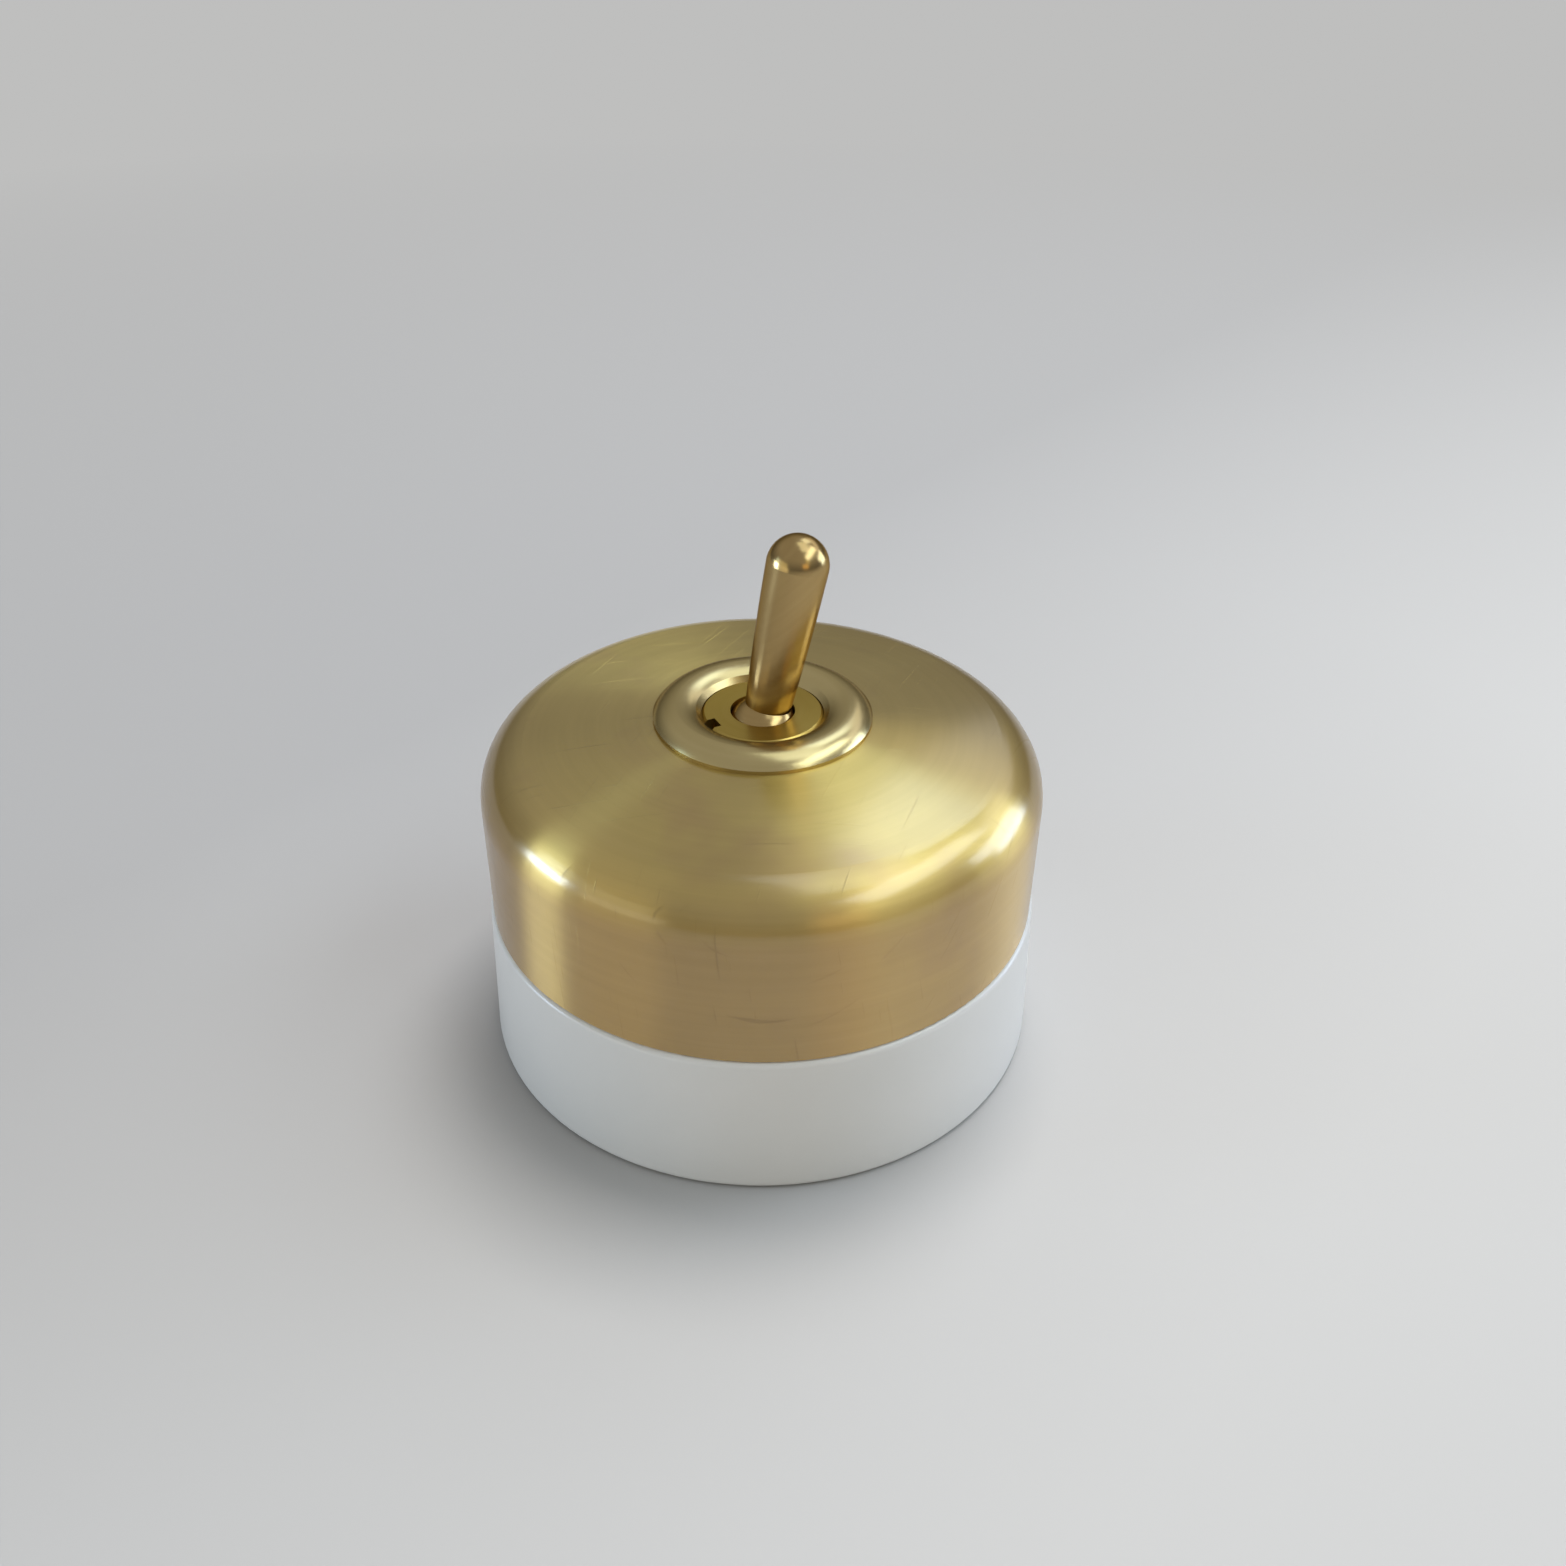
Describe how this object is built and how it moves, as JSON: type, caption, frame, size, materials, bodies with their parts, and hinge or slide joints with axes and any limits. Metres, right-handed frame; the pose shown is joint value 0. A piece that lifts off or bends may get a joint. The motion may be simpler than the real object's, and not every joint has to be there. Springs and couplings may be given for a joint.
{
  "type": "surface mounted dolly light switch",
  "caption": "Round wall switch with a glazed base, a domed brass cover and a short turned lever that tips a rocker between contacts.",
  "frame": {"origin": "middle of the base's underside, where it meets the wall", "axes": "+Z away from the wall along the switch's axis; the lever swings in the XZ plane and leans towards +X at rest"},
  "size_m": [0.067, 0.067, 0.0621],
  "materials": {
    "glazed_porcelain": "clear glaze over white porcelain",
    "block_ceramic": "unglazed white ceramic",
    "cover_brass": "spun and brushed round its axis",
    "ring_brass": "polished",
    "bush_brass": "faced on the lathe",
    "lever_brass": "turned, worn smooth",
    "strip_brass": "plain strip",
    "screw_steel": "plain bright",
    "contact_metal": "silver contact faces"
  },
  "bodies": {
    "switch_body": {"porcelain_base": "glazed_porcelain", "mechanism_body": "block_ceramic", "terminal_one": "strip_brass", "terminal_two": "strip_brass", "common_terminal": "strip_brass", "fixed_contacts": "contact_metal", "terminal_screws": "screw_steel", "clamp_washers": "screw_steel", "terminal_nuts": "strip_brass", "bridge": "strip_brass", "bridge_screws": "screw_steel", "earth_screw": "screw_steel", "earth_washer": "screw_steel", "bush": "bush_brass", "cover_nut": "strip_brass", "key_washer": "strip_brass", "cover_dome": "cover_brass", "ring_nut": "ring_brass", "pivot_pin": "screw_steel"},
    "lever": {"dolly": "lever_brass", "plunger_spring": "screw_steel"},
    "sprung_plunger": {"plunger": "screw_steel"},
    "contact_rocker": {"rocker": "strip_brass", "moving_contacts": "contact_metal"}
  },
  "joints": [
    {"name": "lever_swing", "type": "hinge", "parent": "switch_body", "child": "lever", "pos_m": [0, 0, 0.0386], "axis": [0, -1, 0], "range_deg": [0, 24]},
    {"name": "rocker_tip", "type": "hinge", "parent": "switch_body", "child": "contact_rocker", "pos_m": [0, 0, 0.0195], "axis": [0, 1, 0], "range_deg": [0, 16]},
    {"name": "plunger_slide", "type": "slide", "parent": "lever", "child": "sprung_plunger", "axis": [0.2079, 0, 0.9781], "range_m": [0, 0.0012], "stiffness_N_per_m": 800, "springref_m": -0.002, "deforming": ["plunger_spring"]}
  ],
  "couplings": [
    {"joint": "rocker_tip", "follows": "lever_swing", "ratio": 0.66666}
  ]
}
